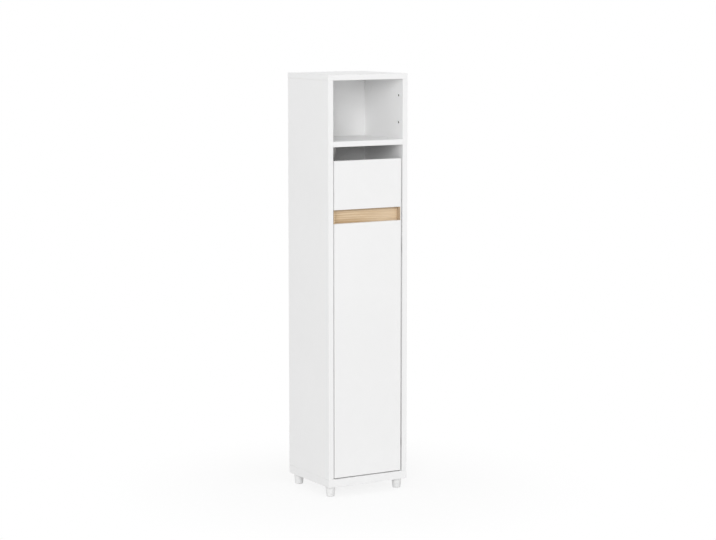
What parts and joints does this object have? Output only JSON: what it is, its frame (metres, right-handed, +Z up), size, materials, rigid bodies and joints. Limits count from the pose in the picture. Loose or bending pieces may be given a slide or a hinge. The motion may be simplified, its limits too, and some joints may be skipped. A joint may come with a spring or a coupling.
{
  "type": "narrow bathroom cabinet",
  "caption": "Tall narrow white bathroom cabinet with an open niche, a paper-roll bay behind a slot, a hinged door with a recessed wooden grip, shelves and small feet.",
  "frame": {"origin": "on the floor, under the middle of the cabinet's width and depth", "axes": "+Z up, the door faces -Y, +X to the right as seen from the front"},
  "size_m": [0.2, 0.183, 0.93],
  "materials": {
    "white_lacquer": "white satin lacquer on fibreboard",
    "white_hardboard": "thin white-faced hardboard",
    "light_wood": "clear matt varnish, straight grain along the rail",
    "foot_plastic": "white satin moulded plastic",
    "white_plastic": "white moulded plastic",
    "zinc_screw": "zinc-plated steel",
    "bright_steel": "nickel-plated steel",
    "cast_zinc": "die-cast zinc, dull",
    "dark_ferrite": "sintered ferrite, dark grey",
    "chrome_tube": "bright chrome-plated steel tube",
    "beech": "raw fluted beech"
  },
  "bodies": {
    "cabinet": {"back_panel": "white_hardboard", "bottom_board": "white_lacquer", "bracket_screws": "zinc_screw", "cam_bolts": "bright_steel", "cam_caps": "white_plastic", "cam_locks": "cast_zinc", "catch_housing": "white_plastic", "catch_magnet": "dark_ferrite", "catch_poles": "bright_steel", "catch_screws": "zinc_screw", "cradle_screws": "zinc_screw", "foot_front_left": "foot_plastic", "foot_front_right": "foot_plastic", "foot_rear_left": "foot_plastic", "foot_rear_right": "foot_plastic", "foot_screws": "zinc_screw", "hinge_arm_screws": "zinc_screw", "left_side": "white_lacquer", "lower_hinge_arm": "bright_steel", "lower_shelf": "white_lacquer", "niche_shelf": "white_lacquer", "right_side": "white_lacquer", "roll_cradle_left": "white_plastic", "roll_cradle_right": "white_plastic", "roll_shelf": "white_lacquer", "shelf_pins": "white_plastic", "top_board": "white_lacquer", "upper_hinge_arm": "bright_steel", "upper_shelf": "white_lacquer", "wall_bracket": "bright_steel", "wood_dowels": "beech"},
    "door": {"door_upper_panel": "white_lacquer", "door_lower_panel": "white_lacquer", "grip_rail": "light_wood", "grip_end_left": "light_wood", "grip_end_right": "light_wood", "grip_screws": "zinc_screw", "upper_hinge_cup": "bright_steel", "lower_hinge_cup": "bright_steel", "hinge_pins": "bright_steel", "hinge_cup_screws": "zinc_screw", "catch_strike": "bright_steel", "strike_screws": "zinc_screw"},
    "roll_bar_ends": {"roll_plug_left": "white_plastic", "roll_plug_right": "white_plastic"},
    "roll_bar_tube": {"roll_tube": "chrome_tube"}
  },
  "joints": [
    {"name": "door_hinge", "type": "hinge", "parent": "cabinet", "child": "door", "pos_m": [0.077, -0.085, 0.32525], "axis": [0, 0, 1], "range_deg": [0, 105]},
    {"name": "roll_bar_lift", "type": "slide", "parent": "cabinet", "child": "roll_bar_ends", "axis": [0, 0, 1], "range_m": [0, 0.022]},
    {"name": "roll_bar_spin", "type": "hinge", "parent": "roll_bar_ends", "child": "roll_bar_tube", "pos_m": [0, -0.015, 0.716], "axis": [1, 0, 0], "continuous": true}
  ]
}
